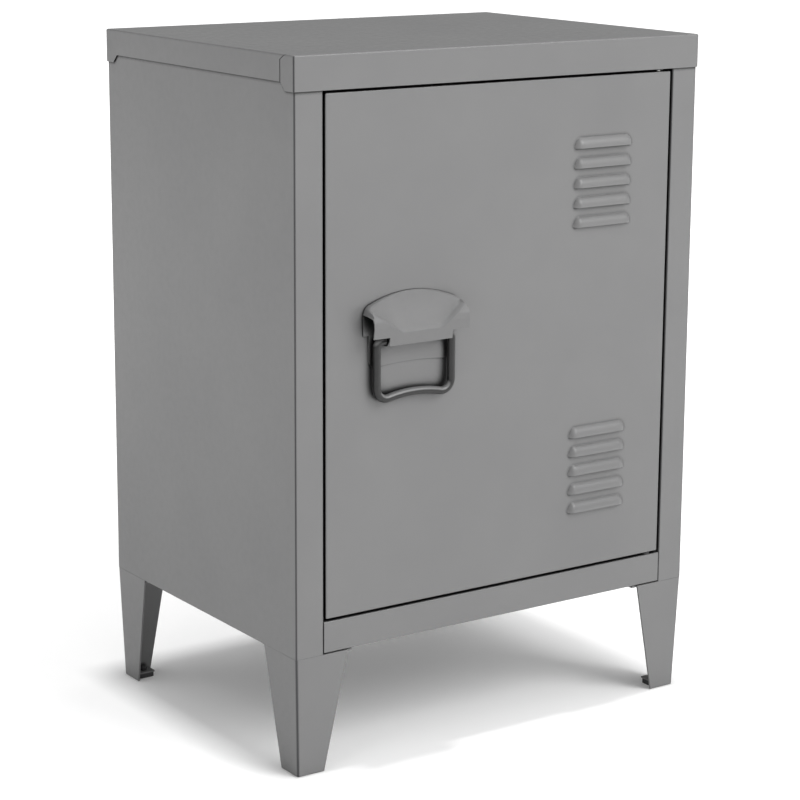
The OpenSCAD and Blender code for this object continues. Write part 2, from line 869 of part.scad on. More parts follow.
// what the thumb scoop takes away from the hood
module scoop(inset) {
    top = hood_hi + cut;
    out = hood_y - cut;
    crease = hood_lo + scoop_crease - inset;
    foot = hood_lo + scoop_foot - inset;
    half = scoop_half + inset;
    wide = hood_half - scoop_side + inset;
    end = hood_hi - scoop_drop - inset;
    intersection() {
        along_x(-hood_half - cut, hood_half + cut) polygon([[plate_y + inset, top],
            [plate_y + inset, hood_hi], [hood_y + scoop_deep + inset, crease],
            [hood_y + inset, foot], [out, foot], [out, top]]);
        upright(out - cut, plate_y + 2 * cut) polygon([[-half, foot - cut], [half, foot - cut],
            [wide, end], [wide, top + cut], [-wide, top + cut], [-wide, end]]);
    }
}

module hood_solid(inset, half) {
    difference() {
        intersection() {
            along_x(-half, half) polygon(hood_section(inset));
            upright(hood_y - cut, plate_y + cut)
                polygon(hood_outline(hood_lo - 2 * cut, half, inset));
        }
        scoop(inset);
    }
}

module handle_hood() {
    color(paint) translate([handle_x, 0, 0]) difference() {
        hood_solid(0, hood_half);
        hood_solid(hood_sheet, hood_half + 2 * hood_sheet + cut);
        // notches that the bail's arms swing up into
        for (s = [-1, 1]) translate([s * hood_half, door_y, hood_lo])
            cube([2 * notch_w, 4 * hood_out, 2 * notch_h], center = true);
    }
}

// the rivets' axes, running backwards from the door's front
module at_handle_rivets() {
    for (s = [-1, 1], z = handle_rivet_zs)
        translate([handle_x + s * handle_rivet_x, door_y, z]) rotate([-90, 0, 0]) children();
}

module handle_rivets() {
    color(steel) at_handle_rivets() {
        translate([0, 0, -hood_sheet - 1.2]) cylinder(r = 3.4, h = 1.2);
        translate([0, 0, -hood_sheet]) cylinder(r = handle_rivet_r, h = hood_sheet + sheet);
        translate([0, 0, sheet]) cylinder(r = 3, h = 1);
    }
}

// a bend of the bail's wire in the X-Z plane about c, from angle a0 over sweep
module wire_bend(c, r, a0, sweep) {
    translate([c[0], 0, c[1]]) rotate([90, 0, 0]) rotate([0, 0, a0])
        rotate_extrude(angle = sweep) translate([r, 0]) circle(wire_r);
}

module bail() {
    run = bail_half - bail_corner_r;
    far = (run * run + bail_rise * bail_rise) / (2 * bail_rise);
    tilt = asin(run / far);
    low = bail_corner_r - bail_drop;
    stub = bail_half - bail_bend_r;
    color(paint) translate([handle_x, bail_y, bail_z]) union() {
        left_and_right() {
            translate([bail_half, 0, low]) cylinder(r = wire_r, h = -low - bail_bend_r);
            wire_bend([stub, -bail_bend_r], bail_bend_r, 0, 90);
            translate([lug_x + lug_t, 0, 0]) rotate([0, 90, 0])
                cylinder(r = wire_r, h = stub - lug_x - lug_t);
            translate([lug_x - lug_t, 0, 0]) rotate([0, 90, 0])
                cylinder(r = spigot_r, h = 2 * lug_t + cut);
            wire_bend([run, low], bail_corner_r, 0, -90 - tilt);
            // a bead where the corner bend runs into the arched grip
            translate([run - bail_corner_r * sin(tilt), 0, low - bail_corner_r * cos(tilt)])
                sphere(r = wire_r + bead);
        }
        wire_bend([0, low - far * cos(tilt)], far - bail_corner_r, 90 - tilt, 2 * tilt);
    }
}

// everything is drawn with the middle of the part's box over the origin
module centred() {
    translate([0, (front_reach - depth / 2) / 2, 0]) children();
}

centred() lid();
centred() lid_studs();
centred() lid_nuts();
centred() left_side();
centred() right_side();
centred() back_panel();
centred() back_screws();
centred() floor_panel();
centred() header_rail();
centred() rail_screws();
centred() leg_front_left();
centred() leg_front_right();
centred() leg_rear_left();
centred() leg_rear_right();
centred() leg_bolts();
centred() leg_nuts();
centred() foot_glides();
centred() shelf();
centred() shelf_clips();
centred() door_bumpers();
centred() catch_body();
centred() catch_magnet();
centred() catch_poles();
centred() catch_screws();
centred() hinge_bush_upper();
centred() hinge_bush_lower();
centred() door_panel();
centred() door_stiffener();
centred() hinge_pin_upper();
centred() hinge_pin_lower();
centred() strike_plate();
centred() strike_rivets();
centred() handle_plate();
centred() handle_hood();
centred() handle_rivets();
centred() bail();
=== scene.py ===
import json
import math

import bmesh
import bpy
from mathutils import Matrix, Vector


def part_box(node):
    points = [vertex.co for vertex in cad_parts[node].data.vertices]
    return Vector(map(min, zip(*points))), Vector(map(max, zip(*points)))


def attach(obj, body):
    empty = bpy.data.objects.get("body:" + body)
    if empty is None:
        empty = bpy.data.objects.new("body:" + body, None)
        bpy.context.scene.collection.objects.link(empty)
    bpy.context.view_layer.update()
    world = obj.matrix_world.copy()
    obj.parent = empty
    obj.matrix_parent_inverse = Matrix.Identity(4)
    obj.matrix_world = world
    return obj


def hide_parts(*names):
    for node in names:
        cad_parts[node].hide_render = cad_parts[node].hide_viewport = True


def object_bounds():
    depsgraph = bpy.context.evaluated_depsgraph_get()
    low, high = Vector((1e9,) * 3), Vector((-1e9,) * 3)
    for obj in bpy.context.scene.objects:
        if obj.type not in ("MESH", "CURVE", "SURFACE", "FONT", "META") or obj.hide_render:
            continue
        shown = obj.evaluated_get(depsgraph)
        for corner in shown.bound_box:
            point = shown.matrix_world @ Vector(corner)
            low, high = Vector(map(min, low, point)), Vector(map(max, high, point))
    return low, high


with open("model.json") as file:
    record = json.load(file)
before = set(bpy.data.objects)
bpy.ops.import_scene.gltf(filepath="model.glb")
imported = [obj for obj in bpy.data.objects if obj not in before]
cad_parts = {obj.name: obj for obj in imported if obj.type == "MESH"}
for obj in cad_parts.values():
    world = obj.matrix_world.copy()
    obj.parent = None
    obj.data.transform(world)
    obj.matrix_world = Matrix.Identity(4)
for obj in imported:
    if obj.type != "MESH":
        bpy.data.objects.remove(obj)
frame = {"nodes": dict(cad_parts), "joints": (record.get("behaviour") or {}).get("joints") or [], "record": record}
CAD_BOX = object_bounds()

MM = 0.001
UP, DOWN = Vector((0, 0, 1)), Vector((0, 0, -1))
RIGHT, LEFT = Vector((1, 0, 0)), Vector((-1, 0, 0))
BACK, FRONT = Vector((0, 1, 0)), Vector((0, -1, 0))

# Sheet, bends and cut edges
SHEET = 0.8 * MM
LEG_SHEET = 1.5 * MM
HOOD_SHEET = 1.0 * MM
BEND = 1.4 * MM             # outer radius of the folds of the case
INNER_BEND = 1.2 * MM       # the same for the door and the sheets inside the case
LEG_BEND = 2.0 * MM
EDGE = 0.2 * MM             # rounding that the coat gives a cut edge
FOLD_ANGLE = math.radians(30)
EDGE_ANGLE = math.radians(55)
DOOR_GAP = 2 * MM           # round the door
SAME = 1e-6                 # places closer than this are the same

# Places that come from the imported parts
LID_LO, LID_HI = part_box("lid")
CASE_LO, CASE_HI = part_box("right_side")
OPEN_X, CASE_X = CASE_LO.x, CASE_HI.x
FRONT_Y, REAR_Y = CASE_LO.y, CASE_HI.y
RAIL_LO, RAIL_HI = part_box("header_rail")
RETURN_Y = RAIL_HI.y
FLOOR_LO, FLOOR_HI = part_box("floor_panel")
DOOR_LO, DOOR_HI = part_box("door_panel")
DOOR_X = DOOR_HI.x
DOOR_BACK = DOOR_HI.y
HOOD_LO, HOOD_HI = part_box("handle_hood")
HOOD_X = (HOOD_LO.x + HOOD_HI.x) / 2
LOUVRE_OUT = FRONT_Y - DOOR_LO.y


# ---- materials ----

class Shader:
    """A node material with a Principled shader and short calls for what feeds it."""

    def __init__(self, name):
        self.material = bpy.data.materials.new(name)
        self.material.use_nodes = True
        self.nodes = self.material.node_tree.nodes
        self.links = self.material.node_tree.links
        self.shader = self.nodes["Principled BSDF"]
        self.coords = self.nodes.new("ShaderNodeTexCoord").outputs["Object"]

    def noise(self, size, detail=2.0, stretch=(1, 1, 1)):
        """Noise whose features are about size metres across."""
        place = self.nodes.new("ShaderNodeMapping")
        place.inputs["Scale"].default_value = stretch
        noise = self.nodes.new("ShaderNodeTexNoise")
        noise.inputs["Scale"].default_value = 1 / size
        noise.inputs["Detail"].default_value = detail
        self.links.new(self.coords, place.inputs["Vector"])
        self.links.new(place.outputs["Vector"], noise.inputs["Vector"])
        return noise.outputs["Fac"]

    def graded(self, value, start, end, low, high):
        """Goes from low to high as the value goes from start to end."""
        node = self.nodes.new("ShaderNodeMapRange")
        node.inputs["From Min"].default_value = start
        node.inputs["From Max"].default_value = end
        node.inputs["To Min"].default_value = low
        node.inputs["To Max"].default_value = high
        self.links.new(value, node.inputs["Value"])
        return node.outputs["Result"]

    def spread(self, value, low, high):
        """The middle of a noise's range, spread from low to high."""
        return self.graded(value, 0.3, 0.7, low, high)

    def mix(self, factor, first, second):
        """Two colours mixed by a factor; a colour is a socket or a tuple. Sockets 6 and 7 take the
        colours and output 2 gives one."""
        node = self.nodes.new("ShaderNodeMix")
        node.data_type = "RGBA"
        self.links.new(factor, node.inputs["Factor"])
        for socket, colour in ((node.inputs[6], first), (node.inputs[7], second)):
            if isinstance(colour, tuple):
                socket.default_value = (*colour, 1)
            else:
                self.links.new(colour, socket)
        return node.outputs[2]

    def maths(self, operation, first, second=None):
        """One operation on sockets or numbers."""
        node = self.nodes.new("ShaderNodeMath")
        node.operation = operation
        for socket, value in zip(node.inputs, (first, second)):
            if value is None:
                continue
            if isinstance(value, (int, float)):
                socket.default_value = value
            else:
                self.links.new(value, socket)
        return node.outputs[0]

    def length(self, vector):
        """How long a vector is."""
        node = self.nodes.new("ShaderNodeVectorMath")
        node.operation = "LENGTH"
        self.links.new(vector, node.inputs[0])
        return node.outputs["Value"]

    def facing(self, kind):
        """The x, y and z sockets of the surface's direction; kind is Normal or True Normal."""
        geometry = self.nodes.new("ShaderNodeNewGeometry")
        split = self.nodes.new("ShaderNodeSeparateXYZ")
        self.links.new(geometry.outputs[kind], split.inputs["Vector"])
        return split.outputs

    def openness(self, reach, samples, alone=False):
        """1 in the open, less where surfaces within reach metres close in; alone looks at the piece's
        own surface only."""
        node = self.nodes.new("ShaderNodeAmbientOcclusion")
        node.samples = samples
        node.only_local = alone
        node.inputs["Distance"].default_value = reach
        return node.outputs["AO"]

    def bump(self, height, depth, strength):
        """Relief depth metres deep from a height between 0 and 1."""
        node = self.nodes.new("ShaderNodeBump")
        node.inputs["Distance"].default_value = depth
        node.inputs["Strength"].default_value = strength
        self.links.new(height, node.inputs["Height"])
        self.links.new(node.outputs["Normal"], self.shader.inputs["Normal"])

    def feed(self, name, value):
        """Links a socket to one of the shader's inputs."""
        self.links.new(value, self.shader.inputs[name])

    def set(self, name, value):
        """Sets one of the shader's inputs to the same value all over."""
        self.shader.inputs[name].default_value = value


# Painted shade that the masks below mix into the paint
# painted shade on the vertical corner bends
PAINTED_BEND_SHADE = (0.03, 0.03, 0.032)
# painted shade in joints, under edges and on flanks
PAINTED_SHADE = (0.008, 0.008, 0.008)
# painted shade deep inside hollows
PAINTED_HOLLOW_SHADE = (0.003, 0.003, 0.003)


def crevice_mask(s, reach, alone, depth):
    """Painted shade: 1 deep in joints and behind edges, 0 in the open; a higher depth darkens sooner."""
    open_share = s.maths("POWER", s.openness(reach, 8, alone), depth)
    return s.maths("SUBTRACT", 1.0, open_share)


def enclosed_mask(s, reach):
    """Painted shade: 1 well inside a hollow, and 0 wherever most of the view within reach is open."""
    return s.graded(s.openness(reach, 16), 0.5, 0.72, 1.0, 0.0)


def corner_mask(s):
    """1 on the vertical corner bends, where a dark painted shade stands in for the shading of the bend, and 0 on
    the flats.
    """
    facing = s.facing("True Normal")
    across = s.maths("ABSOLUTE", facing["X"])
    along = s.maths("ABSOLUTE", facing["Y"])
    return s.graded(s.maths("MINIMUM", across, along), 0.12, 0.35, 0.0, 1.0)


def flank_mask(s):
    """Painted shade: 1 where a surface is upright or faces down, 0 where it faces up."""
    return s.graded(s.facing("Normal")["Z"], 0.15, 0.38, 1.0, 0.0)


def grey_paint(name, painted_corner_shade=False, painted_flank_shade=False, crevice=3 * MM, alone=False, depth=4.5,
               hollow=None, shine=1.0):
    """Semi-gloss grey powder coat with fine orange peel, darkened by painted shade in the joints.
    crevice and hollow are how far, in metres, the two kinds of shading look; shine scales the gloss."""
    s = Shader(name)
    light, dark = (0.153, 0.153, 0.153), (0.142, 0.142, 0.143)
    colour = s.mix(s.spread(s.noise(90 * MM, 3), 0, 1), dark, light)
    if painted_corner_shade:
        # painted shade on the vertical corner bends
        colour = s.mix(corner_mask(s), colour, PAINTED_BEND_SHADE)
    # painted shade on the flanks and undersides
    if painted_flank_shade:
        colour = s.mix(flank_mask(s), colour, PAINTED_SHADE)
    # painted shade deep inside hollows
    if hollow:
        colour = s.mix(enclosed_mask(s, hollow), colour, PAINTED_HOLLOW_SHADE)
    # painted shade in joints and under edges
    if crevice:
        colour = s.mix(crevice_mask(s, crevice, alone, depth), colour, PAINTED_SHADE)
    s.feed("Base Color", colour)
    s.feed("Roughness", s.spread(s.noise(6 * MM, 3), 0.3 / shine, 0.4 / shine))
    s.set("Specular IOR Level", 0.45 * shine)
    s.bump(s.noise(1.3 * MM, 2), 0.03 * MM, 0.6)
    return s.material


def zinc(name):
    """Bright zinc plate with fine turning marks and a faint straw tint."""
    s = Shader(name)
    tint = s.spread(s.noise(4 * MM, 3), 0, 1)
    s.feed("Base Color", s.mix(tint, (0.55, 0.56, 0.58), (0.68, 0.67, 0.63)))
    s.set("Metallic", 1.0)
    s.feed("Roughness", s.spread(s.noise(0.8 * MM, 3, (1, 1, 6)), 0.26, 0.42))
    s.bump(s.noise(0.35 * MM, 2, (1, 1, 5)), 0.01 * MM, 0.5)
    return s.material


def black_plastic(name):
    """Moulded black plastic with a fine eroded grain."""
    s = Shader(name)
    worn = s.spread(s.noise(9 * MM, 3), 0, 1)
    s.feed("Base Color", s.mix(worn, (0.012, 0.012, 0.013), (0.026, 0.026, 0.027)))
    s.feed("Roughness", s.spread(s.noise(2 * MM, 2), 0.42, 0.58))
    s.bump(s.noise(0.4 * MM, 3), 0.03 * MM, 0.8)
    return s.material


def black_rubber(name):
    """Matt black rubber with a dusty bloom."""
    s = Shader(name)
    bloom = s.spread(s.noise(5 * MM, 4), 0, 1)
    s.feed("Base Color", s.mix(bloom, (0.014, 0.014, 0.014), (0.034, 0.033, 0.032)))
    s.feed("Roughness", s.spread(s.noise(3 * MM, 2), 0.75, 0.92))
    s.bump(s.noise(0.6 * MM, 2), 0.04 * MM, 0.6)
    return s.material


def ferrite(name):
    """Sintered ferrite, dark and slightly speckled."""
    s = Shader(name)
    speck = s.spread(s.noise(0.5 * MM, 3), 0, 1)
    s.feed("Base Color", s.mix(speck, (0.028, 0.027, 0.027), (0.07, 0.066, 0.064)))
    s.feed("Roughness", s.spread(s.noise(2 * MM, 2), 0.55, 0.75))
    s.bump(s.noise(0.3 * MM, 3), 0.03 * MM, 0.9)
    return s.material


# the paints below mix in painted shade: in joints, inside hollows, on corner bends and on flanks
PAINT = grey_paint("grey_paint")
CASE_PAINT = grey_paint("grey_paint_folded", painted_corner_shade=True, depth=16)
LEG_PAINT = grey_paint("grey_paint_leg", painted_corner_shade=True, alone=True)
DOOR_PAINT = grey_paint("grey_paint_door", alone=True, hollow=25 * MM)
LOUVRE_PAINT = grey_paint("grey_paint_louvre", crevice=None)
HOOD_PAINT = grey_paint("grey_paint_hood", crevice=None, shine=0.6)
SHADED_PAINT = grey_paint("grey_paint_inside", crevice=60 * MM, depth=8)
PLATE_PAINT = grey_paint("grey_paint_plate", alone=True, hollow=25 * MM)
BAIL_PAINT = grey_paint("grey_paint_bail", painted_flank_shade=True, crevice=12 * MM, depth=1.5)
ZINC = zinc("zinc_fixings")
PLASTIC = black_plastic("black_plastic")
RUBBER = black_rubber("black_rubber")
FERRITE = ferrite("magnet_ferrite")


# ---- making pieces ----

def panel(mesh, points, out):
    """One flat face of a sheet's outer skin, facing out."""
    face = mesh.faces.new([mesh.verts.new(p) for p in points])
    face.normal_update()
    if face.normal.dot(out) < 0:
        face.normal_flip()


def strip(mesh, outline, place, x0, x1):
    """A folded strip: outline is its section's points, and place(p, x) puts one at x along it."""
    for a, b, out in outline:
        panel(mesh, [place(a, x0), place(a, x1), place(b, x1), place(b, x0)], out)


def weld(mesh):
    """Joins the panels of a skin where their points meet."""
    bmesh.ops.remove_doubles(mesh, verts=mesh.verts, dist=SAME)


def mark_folds(mesh):
    """Gives every edge where the skin turns the weight that the Bevel modifier rounds."""
    weight = mesh.edges.layers.float.new("bevel_weight_edge")
    for edge in mesh.edges:
        if len(edge.link_faces) == 2 and edge.calc_face_angle() > FOLD_ANGLE:
            edge[weight] = 1.0


def modifier(obj, kind, **settings):
    """Adds a modifier with its settings."""
    made = obj.modifiers.new(kind.lower(), kind)
    for key, value in settings.items():
        setattr(made, key, value)


def round_edges(obj, width):
    """Rounds the cut edges and evens out the shading."""
    modifier(obj, "BEVEL", limit_method="ANGLE", angle_limit=EDGE_ANGLE, width=width, segments=2)
    modifier(obj, "WEIGHTED_NORMAL", keep_sharp=False, weight=80)


def add_object(name, mesh):
    """A smooth-shaded object from a bmesh."""
    data = bpy.data.meshes.new(name)
    mesh.to_mesh(data)
    mesh.free()
    for face in data.polygons:
        face.use_smooth = True
    obj = bpy.data.objects.new(name, data)
    bpy.context.scene.collection.objects.link(obj)
    return obj


def body_of(node):
    """The CAD body that a node rides on."""
    groups = frame["record"]["behaviour"]["bodies"]
    return next(body for body, members in groups.items() if node in members)


def sheet_piece(name, mesh, node, thickness=SHEET, bend=BEND, material=PAINT, folds_marked=False):
    """Folded sheet from its outer skin: rounds the folds, gives it thickness and rounds its edges."""
    if not folds_marked:
        weld(mesh)
        mark_folds(mesh)
    obj = add_object(name, mesh)
    obj.data.materials.append(material)
    modifier(obj, "BEVEL", limit_method="WEIGHT", width=bend, segments=4, use_clamp_overlap=True)
    modifier(obj, "SOLIDIFY", thickness=thickness, offset=-1.0, use_even_offset=True)
    round_edges(obj, EDGE)
    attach(obj, body_of(node))
    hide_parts(node)
    return obj


def mirrored(points, side):
    """Points drawn on the right, put on the side that is 1 for right and -1 for left."""
    return [Vector((side * p[0], p[1], p[2])) for p in points]


# ---- lid ----

LID_FLANGE = 21 * MM        # height of the lid's side flanges
EAR = 19 * MM               # width of the ears that wrap round its corners
EAR_RELIEF = 7 * MM         # how far the slit runs back towards the corner at the top
EAR_RELIEF_DROP = 4 * MM    # how far down that part of the slit goes
SLIT = 0.7 * MM             # its width


def make_lid():
    """The lid: its side flanges are slit free of the front ears and run into the rear ones."""
    mesh = bmesh.new()
    x, y0, y1, top, low = LID_HI.x, LID_LO.y, LID_HI.y, LID_HI.z, LID_LO.z
    relief = y0 + EAR - EAR_RELIEF
    slope = top - LID_FLANGE - low
    side_line = [y0, relief, relief + SLIT, y1]
    right_edge = [(x, y, top) for y in side_line]
    left_edge = [(-x, y, top) for y in reversed(side_line)]
    panel(mesh, right_edge + left_edge, UP)
    for y, out in ((y0, FRONT), (y1, BACK)):
        panel(mesh, [(-x, y, top), (x, y, top), (x, y, low), (-x, y, low)], out)
    front_ear = [
        (x, y0, top),
        (x, y0, low),
        (x, y0 + EAR - slope, low),
        (x, y0 + EAR, low + slope),
        (x, y0 + EAR, top - EAR_RELIEF_DROP),
        (x, relief, top),
    ]
    flange = [
        (x, relief + SLIT, top),
        (x, y0 + EAR + SLIT, top - EAR_RELIEF_DROP),
        (x, y0 + EAR + SLIT, low + slope),
        (x, y1 - EAR, low + slope),
        (x, y1 - EAR + slope, low),
        (x, y1, low),
        (x, y1, top),
    ]
    for side, out in ((1, RIGHT), (-1, LEFT)):
        panel(mesh, mirrored(flange, side), out)
        panel(mesh, mirrored(front_ear, side), out)
    sheet_piece("lid_shell", mesh, "lid", material=CASE_PAINT)


# ---- sides ----

FLANGE = 15 * MM            # inward flanges at the back and top of a side
FOOT_FLANGE = 20 * MM       # inward flange at its bottom
STOP = 12 * MM              # width of the lip that the door closes against
FLANGE_GAP = 1 * MM         # from the return to the top and bottom flanges


def make_side(side, node):
    """A side sheet with its stile, return and flanges; side is 1 on the right and -1 on the left."""
    mesh = bmesh.new()
    lo, hi = CASE_LO.z, CASE_HI.z
    start = RETURN_Y + FLANGE_GAP
    out = RIGHT * side
    has_stop = node == "left_side"
    rear = RETURN_Y - SHEET if has_stop else RETURN_Y
    stop_z = (DOOR_LO.z - DOOR_GAP, DOOR_HI.z + DOOR_GAP)
    rear_zs = (lo, *stop_z, hi) if has_stop else (lo, hi)
    back_of_return = [(OPEN_X, rear, z) for z in rear_zs]
    panel(mesh, mirrored([(OPEN_X, FRONT_Y, hi), (OPEN_X, FRONT_Y, lo), *back_of_return], side), -out)
    panel(mesh, mirrored([(OPEN_X, FRONT_Y, lo), (CASE_X, FRONT_Y, lo),
                          (CASE_X, FRONT_Y, hi), (OPEN_X, FRONT_Y, hi)], side), FRONT)
    panel(mesh, mirrored([(CASE_X, FRONT_Y, lo), (CASE_X, start, lo), (CASE_X, REAR_Y, lo),
                          (CASE_X, REAR_Y, hi), (CASE_X, start, hi), (CASE_X, FRONT_Y, hi)], side), out)
    inner = CASE_X - FLANGE
    panel(mesh, mirrored([(CASE_X, REAR_Y, lo), (inner, REAR_Y, lo), (inner, REAR_Y, hi),
                          (CASE_X, REAR_Y, hi)], side), BACK)
    end = REAR_Y - BEND
    for z, face_out, width in ((lo, DOWN, FOOT_FLANGE), (hi, UP, FLANGE)):
        edge = CASE_X - width
        panel(mesh, mirrored([(CASE_X, start, z), (CASE_X, end, z), (edge, end, z),
                              (edge, start, z)], side), face_out)
    if has_stop:
        lip = OPEN_X - STOP
        panel(mesh, mirrored([(OPEN_X, rear, stop_z[0]), (lip, rear, stop_z[0]),
                              (lip, rear, stop_z[1]), (OPEN_X, rear, stop_z[1])], side), FRONT)
    sheet_piece(node + "_shell", mesh, node, material=CASE_PAINT)


# ---- floor panel, header and shelf ----

FLOOR_LIP = 12 * MM         # lip behind the rail under the door
FLOOR_TURN_UP = 12.8 * MM   # height of the floor's upturned edges
HINGE_ROOM = 21 * MM        # from the hinge's axis to the end of the header's lip
LIP_SLACK = 0.3 * MM        # from that lip's other end to the left side's stop


def make_floor():
    """The floor, whose front edge folds up into the rail under the door."""
    mesh = bmesh.new()
    rail_x, edge_x = RAIL_HI.x, FLOOR_HI.x
    z, rail_top, rear = FLOOR_LO.z, FLOOR_HI.z, FLOOR_HI.y
    step, up = RETURN_Y + FLANGE_GAP, FLOOR_TURN_UP
    lip = rail_top - FLOOR_LIP
    strip(mesh, [
        ((RETURN_Y, lip), (RETURN_Y, rail_top), BACK),
        ((RETURN_Y, rail_top), (FRONT_Y, rail_top), UP),
        ((FRONT_Y, rail_top), (FRONT_Y, z), FRONT),
    ], lambda p, x: (x, p[0], p[1]), -rail_x, rail_x)
    panel(mesh, [(-rail_x, FRONT_Y, z), (rail_x, FRONT_Y, z), (rail_x, step, z), (edge_x, step, z),
                 (edge_x, rear, z), (-edge_x, rear, z), (-edge_x, step, z), (-rail_x, step, z)], DOWN)
    panel(mesh, [(-edge_x, rear, z), (edge_x, rear, z), (edge_x, rear, z + up),
                 (-edge_x, rear, z + up)], BACK)
    for side, out in ((1, RIGHT), (-1, LEFT)):
        panel(mesh, mirrored([(edge_x, step, z), (edge_x, rear, z), (edge_x, rear, z + up),
                              (edge_x, step, z + up)], side), out)
    sheet_piece("floor_shell", mesh, "floor_panel", bend=INNER_BEND)


def make_header():
    """The channel above the door, with the lip that the door's top edge closes against."""
    mesh = bmesh.new()
    low, top = DOOR_HI.z + DOOR_GAP, RAIL_HI.z
    hinge_x = frame["joints"][0]["pos_m"][0]
    lip_x = (STOP - RAIL_HI.x + LIP_SLACK, hinge_x - HINGE_ROOM)
    rear = RETURN_Y
    strip(mesh, [
        ((rear, top), (FRONT_Y, top), UP),
        ((FRONT_Y, top), (FRONT_Y, low), FRONT),
    ], lambda p, x: (x, p[0], p[1]), RAIL_LO.x, RAIL_HI.x)
    panel(mesh, [(RAIL_LO.x, FRONT_Y, low), (RAIL_HI.x, FRONT_Y, low), (RAIL_HI.x, rear, low),
                 (lip_x[1], rear, low), (lip_x[0], rear, low), (RAIL_LO.x, rear, low)], DOWN)
    panel(mesh, [(lip_x[0], rear, low), (lip_x[1], rear, low), (lip_x[1], rear, RAIL_LO.z),
                 (lip_x[0], rear, RAIL_LO.z)], BACK)
    sheet_piece("header_shell", mesh, "header_rail", bend=INNER_BEND)


def make_shelf():
    """The shelf: a sheet with its front and rear edges turned down."""
    lo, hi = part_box("shelf")
    mesh = bmesh.new()
    strip(mesh, [
        ((lo.y, lo.z), (lo.y, hi.z), FRONT),
        ((lo.y, hi.z), (hi.y, hi.z), UP),
        ((hi.y, hi.z), (hi.y, lo.z), BACK),
    ], lambda p, x: (x, p[0], p[1]), lo.x, hi.x)
    sheet_piece("shelf_shell", mesh, "shelf", bend=INNER_BEND)


# ---- legs ----

LEG_TOP = 49 * MM           # width of a leg's flanges at the top
LEG_FOOT = 25 * MM          # and at the foot
LEG_LEAN = 3 * MM           # how far the foot is inside the case's corner
LEG_PLATE = 54 * MM         # side of the plate that bolts to the case
PLATE_CUT = 0.8 * LEG_TOP   # from the leg's corner to where the plate's inner corner is cut off
GLIDE_W, GLIDE_H = 16 * MM, 4 * MM
GLIDE_GAP = 2 * MM          # from a leg's inner faces to its glide


def make_leg(node, side, end):
    """A tapered corner leg; side is 1 on the right, and end is -1 at the front and 1 at the back."""
    lo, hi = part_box(node)
    plate_z, foot_z = hi.z, lo.z
    tab_z = GLIDE_H + LEG_SHEET
    tab = LEG_LEAN + LEG_SHEET + GLIDE_GAP + GLIDE_W
    corner_y = FRONT_Y if end < 0 else REAR_Y

    def at(across, along, z):
        """A point measured inwards from the leg's corner."""
        return Vector((side * (CASE_X - across), corner_y - end * along, z))

    mesh = bmesh.new()
    top, foot = at(0, 0, plate_z), at(LEG_LEAN, LEG_LEAN, foot_z)
    panel(mesh, [top, at(LEG_TOP, 0, plate_z), at(LEG_FOOT + LEG_LEAN, LEG_LEAN, foot_z), foot],
          BACK * end)
    panel(mesh, [top, at(0, LEG_TOP, plate_z), at(LEG_LEAN, LEG_FOOT + LEG_LEAN, foot_z), foot],
          RIGHT * side)
    inset = LEG_SHEET
    panel(mesh, [at(inset, inset, plate_z), at(LEG_PLATE, inset, plate_z),
                 at(LEG_PLATE, PLATE_CUT, plate_z), at(PLATE_CUT, LEG_PLATE, plate_z),
                 at(inset, LEG_PLATE, plate_z)], UP)
    inset = LEG_LEAN + LEG_SHEET
    panel(mesh, [at(inset, inset, tab_z), at(tab, inset, tab_z), at(tab, tab, tab_z),
                 at(inset, tab, tab_z)], UP)
    sheet_piece(node + "_shell", mesh, node, LEG_SHEET, LEG_BEND, LEG_PAINT)


# ---- door ----

DOOR_LIP = 10 * MM          # return lip round the back of the pan
STIFFENER_FOOT = 10 * MM    # width of the stiffener's welded feet
LOUVRES = 5                 # in each set
LOUVRE_LENGTH = 60 * MM
LOUVRE_HEIGHT = 9 * MM
LOUVRE_PITCH = 16.3 * MM
LOUVRE_FROM_EDGE = 86.5 * MM    # from the door's top or bottom edge to the middle of a set
LOUVRE_FROM_SIDE = 41 * MM      # from the hinged edge to the nearer end
LOUVRE_END = 7 * MM             # length of its rounded ends
LOUVRE_ROUND, LOUVRE_CREST = 2.4, 0.95      # exponents that shape its bulge
LOUVRE_END_STEPS = 14           # grid steps along a rounded end
LOUVRE_UP_STEPS = 16            # and up a louvre
RAISED = 0.1 * MM               # the door's face counts as a louvre beyond this


def louvre_rise(across, up):
    """How far a louvre stands out, as a share, at a point of it; across is from its middle."""
    end = max(0.0, abs(across) - (LOUVRE_LENGTH / 2 - LOUVRE_END)) / LOUVRE_END
    reach = math.hypot(end, up / LOUVRE_HEIGHT)
    return max(0.0, 1 - reach ** LOUVRE_ROUND) ** LOUVRE_CREST


def spaced(a, b, count):
    """Both ends and the even steps between them."""
    return [a + (b - a) * i / count for i in range(count + 1)]


def merged(values):
    """Sorted values without repeats."""
    kept = []
    for v in sorted(values):
        if not kept or v - kept[-1] > SAME:
            kept.append(v)
    return kept


